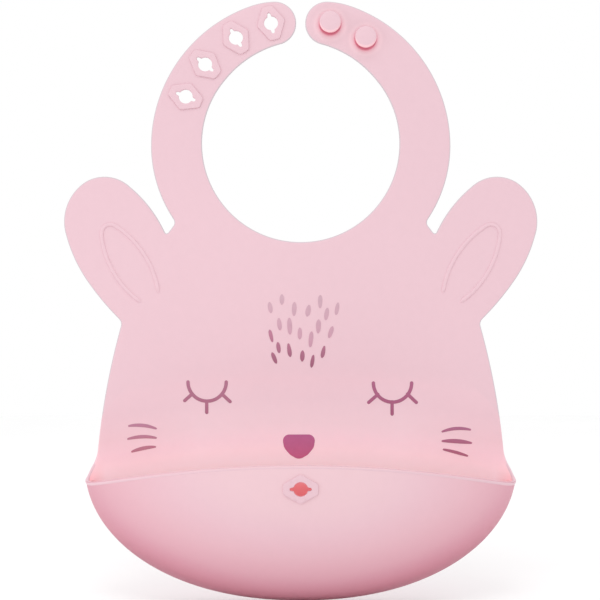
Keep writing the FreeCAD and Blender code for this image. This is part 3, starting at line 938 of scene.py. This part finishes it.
def hexagon_loop(x, z, angle, soft=1.1):
    """Hexagon with soft corners."""
    corners = [(PAD_X, -PAD_FLAT), (PAD_X, PAD_FLAT), (0, PAD_Z),
               (-PAD_X, PAD_FLAT), (-PAD_X, -PAD_FLAT), (0, -PAD_Z)]
    loop = []
    for i, corner in enumerate(corners):
        here = np.array(corner)
        back = np.array(corners[i - 1]) - here
        ahead = np.array(corners[(i + 1) % 6]) - here
        a, b = here + back / np.hypot(*back) * soft, here + ahead / np.hypot(*ahead) * soft
        loop += eased(a, here, b, 7)
        far = np.array(corners[(i + 1) % 6]) - ahead / np.hypot(*ahead) * soft
        loop += [b + (far - b) * t for t in np.linspace(0, 1, 9)[1:-1]]
    return rotated(loop, x, z, angle)


def pad(node, x, z, angle, y_front, y_back, surface=None):
    """Raised pad about a slot, on the strap or standing on a curved surface."""
    loops = [hexagon_loop(x, z, angle), slot_loop(x, z, angle)]
    points, faces, caps = plate_parts(loops, y_front, y_back, PAD_ROUND, 0, PAD_MESH)[""]
    if surface:
        points = [(p[0], p[1] - surface(p[0], p[2]), p[2]) for p in points]
    return silicone_piece(node, (points, faces, caps), node + "_skin")


for n, (x, _, z) in enumerate(SLOTS, 1):
    slot_pad = pad("slot_pad_%d" % n, x, z, math.atan2(z, x), -SHEET - PAD_RISE, -OVERLAP)
    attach(slot_pad, "left_strap_tip")
front_pad = pad("pocket_slot_pad", FRONT_SLOT[0], FRONT_SLOT[2], 0.0, -PAD_RISE, WALL / 2, bowl_depth)
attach(front_pad, "pocket_lip")


STUD_HEAD, STUD_SINK = 2.4, 0.4  # a head's thickness, and how far its stem reaches into the strap


def turn_about(centre, radius, start, stop, steps):
    return [(centre[0] + radius * math.cos(a), centre[1] + radius * math.sin(a))
            for a in np.linspace(start, stop, steps)]


def lathe(name, profile_points, centre, steps=64):
    """Turned solid about an axis along Y, from (radius, y) points."""
    n = len(profile_points)
    points = [(centre[0] + r * math.cos(a), y, centre[2] + r * math.sin(a))
              for a in 2 * math.pi * np.arange(steps) / steps for r, y in profile_points]
    lines = np.arange(steps * n).reshape(steps, n)
    faces = [[a[k], a[k + 1], b[k + 1], b[k]]
             for a, b in zip(lines, np.roll(lines, -1, 0)) for k in range(n - 1)]
    faces += [lines[:, 0], lines[::-1, -1]]
    return mesh_piece(name, points, faces, STUD_SILICONE)


def stud(name):
    low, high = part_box(name)
    centre = (np.array(low) + np.array(high)) / 2 / MM
    head = (high[0] - low[0]) / 2 / MM
    top = low[1] / MM
    under = top + STUD_HEAD
    stem, edge, dome, brim, neck, foot = 3.1, 1.05, 0.3, 0.6, 0.4, 0.8
    quarter = math.pi / 2
    outline = [(r, top + dome * (r / (head - edge)) ** 2) for r in np.linspace(0.3, head - edge, 8)]
    outline += turn_about((head - edge, top + dome + edge), edge, -quarter, 0, 7)[1:]
    outline += turn_about((head - brim, under - brim), brim, 0, quarter, 5)
    outline += turn_about((stem + neck, under + neck), neck, -quarter, -math.pi, 4)
    outline += turn_about((stem + foot, -SHEET - foot), foot, math.pi, quarter, 5)
    outline.append((stem + foot, -SHEET + STUD_SINK))
    button = lathe(name + "_skin", outline, centre)
    crease(button)
    clad(button, name)
    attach(button, "right_strap_tip")


stud("stud_outer")
stud("stud_inner")


# ---- ear lines ----

# Open loop inside an ear: x, z and the radius of the arc that follows.
EAR_BEAD = [(71.0, -75.0, 48.2), (93.5, -40.3, 4.5), (99.7, -45.0, 46.3), (79.5, -79.3, 0)]
BEAD_HALF, BEAD_RISE = 0.95, 0.55
BEAD_FADE = 2.5  # steps over which its ends narrow


def ear_bead_path(side):
    """Up one long arc, round the top and down the other."""
    points = []
    for (*start, radius), (*stop, _) in zip(EAR_BEAD, EAR_BEAD[1:]):
        points += arc(start, stop, radius, -1)
    return smoothed([(x * side, 0, z) for x, z in [*points, EAR_BEAD[-1][:2]]], 0.8)


def build_ear_line(hand, side):
    path = ear_bead_path(side)
    ahead = directions(path)
    across = np.stack([-ahead[:, 2], np.zeros(len(path)), ahead[:, 0]], 1)
    fade = np.clip(from_ends(path) / BEAD_FADE, 0.05, 1) ** 0.6
    steps = 11
    points = []
    for p, c, f in zip(path, across, fade):
        for k in range(steps + 1):
            a = math.pi * k / steps
            rise = (BEAD_RISE + OVERLAP) * f * math.sin(a) ** 0.6
            foot = p + c * BEAD_HALF * f * math.cos(a)
            points.append(tuple(foot + np.array([0, OVERLAP - SHEET - rise, 0])))
    bead = mesh_piece(hand + "_ear_bead", points, bead_faces(len(path), steps + 1), SILICONE)
    crease(bead)
    clad(bead, hand + "_ear_line", hand + "_ear_line_root")
    ear_bend(bead)


for hand, side in SIDES.items():
    build_ear_line(hand, side)


# ---- printed face ----

PRINT_FRONT, PRINT_BACK = -SHEET - 0.1, -SHEET + 0.1
PRINT_ROUND, PRINT_MESH = 0.05, 1.1
PRINT_STEP = 0.004  # each film of a mark lies a little above the one before


def stroke(x0, z0, x1, z1, width):
    """Straight stroke with round ends."""
    angle = math.atan2(z1 - z0, x1 - x0)
    quarter = math.pi / 2
    ends = turn_about((x1, z1), width / 2, angle - quarter, angle + quarter, 9)
    ends += turn_about((x0, z0), width / 2, angle + quarter, angle + 3 * quarter, 9)
    return divided(ends, 1.0)


def divided(loop, step):
    """Closed loop with its long sides divided."""
    return [tuple(p) for a, b in ring_sides(loop) for p in arc(a, b, 0, 0, step)]


def brush(spine, halves):
    """Brush mark about a spine, with round ends of the end radii."""
    spine = np.array(spine)
    ahead = np.gradient(spine, axis=0)
    ahead /= np.hypot(*ahead.T)[:, None]
    up = np.stack([-ahead[:, 1], ahead[:, 0]], 1)
    halves = np.asarray(halves)[:, None]
    top, low = spine + up * halves, spine - up * halves
    turns = np.linspace(0, math.pi, 7)[1:-1]
    last = [spine[-1] + halves[-1] * (ahead[-1] * math.sin(s) + up[-1] * math.cos(s)) for s in turns]
    first = [spine[0] - halves[0] * (ahead[0] * math.sin(s) + up[0] * math.cos(s)) for s in turns]
    return [tuple(p) for p in [*top, *last, *low[::-1], *first]]


def crescent(x0, z0, x1, z1, rise, thick, tip=0.5):
    """Arched brush mark, thickest in the middle."""
    a, b = np.array([x0, z0]), np.array([x1, z1])
    along = (b - a) / np.hypot(*(b - a))
    up = np.array([-along[1], along[0]])
    t = np.linspace(0, 1, 22)
    a, b = a + along * tip, b - along * tip
    spine = a + np.outer(t, b - a) + np.outer(4 * t * (1 - t) * rise, up)
    return brush(spine, tip + (thick / 2 - tip) * np.sin(np.pi * t) ** 0.8)


def fleck(x0, z0, x1, z1, width, belly):
    """Short brush mark, widest at a share of its length."""
    a, b = np.array([x0, z0]), np.array([x1, z1])
    tip = 0.5 * width / 2
    along = (b - a) / np.hypot(*(b - a))
    t = 0.5 - 0.5 * np.cos(np.linspace(0, math.pi, 15))
    spine = a + along * tip + np.outer(t, b - a - 2 * along * tip)
    swell = np.sin(np.pi * t ** (math.log(0.5) / math.log(belly))) ** 0.55
    return brush(spine, tip + (width / 2 - tip) * swell)


def smile(x, z, radius, width):
    """Half ring, open upwards, with round ends."""
    w, pi = width / 2, math.pi
    loop = turn_about((x, z), radius + w, pi, 2 * pi, 36)
    loop += turn_about((x + radius, z), w, 0, pi, 8)[1:-1]
    loop += turn_about((x, z), radius - w, 2 * pi, pi, 32)
    loop += turn_about((x - radius, z), w, 0, pi, 8)[1:-1]
    return loop


def rounded(points):
    """Polygon, anticlockwise, with each (x, z, radius) corner rounded."""
    loop = []
    for i, (x, z, radius) in enumerate(points):
        here = np.array([x, z])
        back = np.array(points[i - 1][:2]) - here
        ahead = np.array(points[(i + 1) % len(points)][:2]) - here
        back, ahead = back / np.hypot(*back), ahead / np.hypot(*ahead)
        opening = math.acos(float(back @ ahead))
        trim = radius / math.tan(opening / 2)
        loop += arc(here + back * trim, here + ahead * trim, radius, 1, 0.5) + [tuple(here + ahead * trim)]
    return divided(loop, 1.2)


def print_piece(name, loops, material, node):
    """One printed mark: thin inlaid films, joined into a piece."""
    points, faces = [], []
    for n, loop in enumerate(loops):
        front = PRINT_FRONT - PRINT_STEP * n
        film = plate_parts([loop], front, PRINT_BACK, PRINT_ROUND, 0, PRINT_MESH)
        part_points, part_faces, _ = film[""]
        faces += [[v + len(points) for v in f] for f in part_faces]
        points += part_points
    piece = mesh_piece(name, points, faces, material)
    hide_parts(node)
    return piece


EYE_RADIUS, LID_WIDTH, LASH_WIDTH = 9.56, 1.75, 1.7


def eye(x, z, lashes):
    return [smile(x, z, EYE_RADIUS, LID_WIDTH)] + [stroke(*ends, LASH_WIDTH) for ends in lashes]


EYES = {
    "left": eye(-46.8, -119.0, [(-54.2, -124.9, -58.0, -128.3), (-47.0, -128.6, -47.0, -134.2),
                                (-39.2, -125.2, -35.3, -128.8)]),
    "right": eye(45.9, -119.5, [(38.6, -125.2, 34.0, -129.2), (45.7, -128.9, 45.7, -135.0),
                                (53.4, -125.0, 57.8, -129.2)]),
}
NOSE = [(-9.5, -145.2, 3.2), (-8.3, -151.9, 4.5), (-5.3, -155.4, 5.0), (-0.9, -157.9, 4.0),
        (3.5, -155.4, 5.0), (6.5, -151.9, 4.5), (7.7, -145.2, 3.2)]
WHISKERS = {
    "left": [(-86.3, -140.9, -71.9, -142.3, 0.9, 1.8), (-86.8, -147.5, -71.9, -146.9, 0.85, 1.8),
             (-84.8, -153.9, -72.3, -151.3, 0.5, 1.9)],
    "right": [(70.4, -143.8, 85.2, -142.8, 1.05, 1.7), (70.4, -148.5, 85.7, -149.5, 0.4, 2.2),
              (71.0, -152.6, 83.7, -156.0, 0.2, 1.6)],
}
# Forehead flecks: upper end, lower end, width and where the mark is widest.
PALE_FLECKS = [
    (-15.7, -79.0, -14.8, -84.6, 2.3, 0.5), (-9.4, -75.1, -9.4, -80.4, 2.3, 0.5),
    (-3.1, -79.0, -3.4, -86.0, 2.3, 0.45), (4.3, -80.4, 3.2, -86.3, 2.6, 0.55),
    (9.8, -75.5, 9.65, -82.1, 2.2, 0.4), (13.4, -81.9, 12.5, -88.1, 2.2, 0.5),
    (18.7, -79.3, 17.6, -85.5, 2.0, 0.5), (-11.0, -87.0, -10.3, -93.2, 2.2, 0.55),
    (-5.7, -86.9, -5.35, -95.3, 2.4, 0.48), (-0.4, -91.8, -0.5, -97.7, 2.2, 0.5),
    (9.0, -87.7, 8.7, -94.7, 2.4, 0.42), (16.0, -91.1, 14.1, -97.0, 2.2, 0.45),
    (5.5, -93.7, 4.7, -101.6, 2.2, 0.45),
]
DARK_FLECKS = [
    (-15.6, -92.8, -14.1, -99.1, 1.9, 0.4), (-11.5, -99.0, -10.7, -104.6, 2.1, 0.5),
    (-6.2, -99.7, -5.2, -106.5, 2.2, 0.62), (0.95, -103.2, 0.7, -108.8, 2.3, 0.5),
    (11.9, -100.9, 10.6, -107.0, 2.1, 0.62), (-14.4, -104.2, -12.1, -109.8, 2.1, 0.45),
    (6.4, -105.4, 5.3, -111.8, 1.9, 0.55),
]


def bend_down(film):
    """Bakes a print's placement into its mesh."""
    bend(film)


for hand in SIDES:
    lid = print_piece(hand + "_eye_film", EYES[hand], EYE_INK[hand], hand + "_eye_print")
    bend_down(lid)
    whiskers = [crescent(*mark) for mark in WHISKERS[hand]]
    marks = print_piece(hand + "_whisker_film", whiskers, WHISKER_INK[hand],
                        hand + "_whisker_print")
    bend_down(marks)
nose_film = print_piece("nose_film", [rounded(NOSE)], NOSE_INK, "nose_print")
bend_down(nose_film)
for tone, flecks, material, slot_name in (("light", PALE_FLECKS, PALE_INK, "pale_fleck_ink"),
                                          ("dark", DARK_FLECKS, DARK_INK, "dark_fleck_ink")):
    marks = print_piece("forehead_flecks_" + tone, [fleck(*mark) for mark in flecks], material,
                        "forehead_fleck_print_" + tone)
    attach(marks, "bib_front")


# ---- stage ----

def floor():
    size, level = 1.2, cad_low[2] - 0.0005
    corners = [(-size, -size, level), (size, -size, level), (size, size, level), (-size, size, level)]
    data = bpy.data.meshes.new("floor")
    data.from_pydata(corners, [], [(0, 1, 2, 3)])
    shade = Shader("floor_paint", 0.8, 0.2)
    colour = shade.ramp(shade.noise(3.0, 2.0), [(0.3, (251, 251, 251)), (0.7, (253, 253, 253))])
    data.materials.append(shade.finish(colour, 0.002, 40.0, [(30.0, 0.0001)], (0.75, 0.85)))
    placed("floor", data)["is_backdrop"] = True


def softbox(name, place, target, size, power):
    lamp = bpy.data.lights.new(name, "AREA")
    lamp.shape = "DISK"
    lamp.size = size
    lamp.energy = power
    placed(name, lamp, place, (Vector(target) - Vector(place)).to_track_quat("-Z", "Y").to_euler())


def studio():
    world = bpy.data.worlds.new("studio")
    world.use_nodes = True
    sky = world.node_tree.nodes["Background"]
    sky.inputs["Color"].default_value = (1, 1, 1, 1)
    sky.inputs["Strength"].default_value = 1.0
    bpy.context.scene.world = world
    softbox("key", (-0.1, -0.75, 0.95), (0, 0, -0.1), 0.6, 2.2)
    softbox("side", (-1.0, -0.45, 0.05), (0, 0, -0.1), 0.8, 1.1)
    bpy.context.scene.view_settings.view_transform = "Standard"


def camera():
    data = bpy.data.cameras.new("camera")
    data.lens = 90
    data.sensor_width = 36
    bpy.context.scene.camera = placed("camera", data, (-0.00035, -0.751, -0.078), (math.pi / 2, 0, 0))


floor()
studio()
camera()
for piece in [*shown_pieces(), bpy.data.objects["floor"]]:
    keep_place(piece)
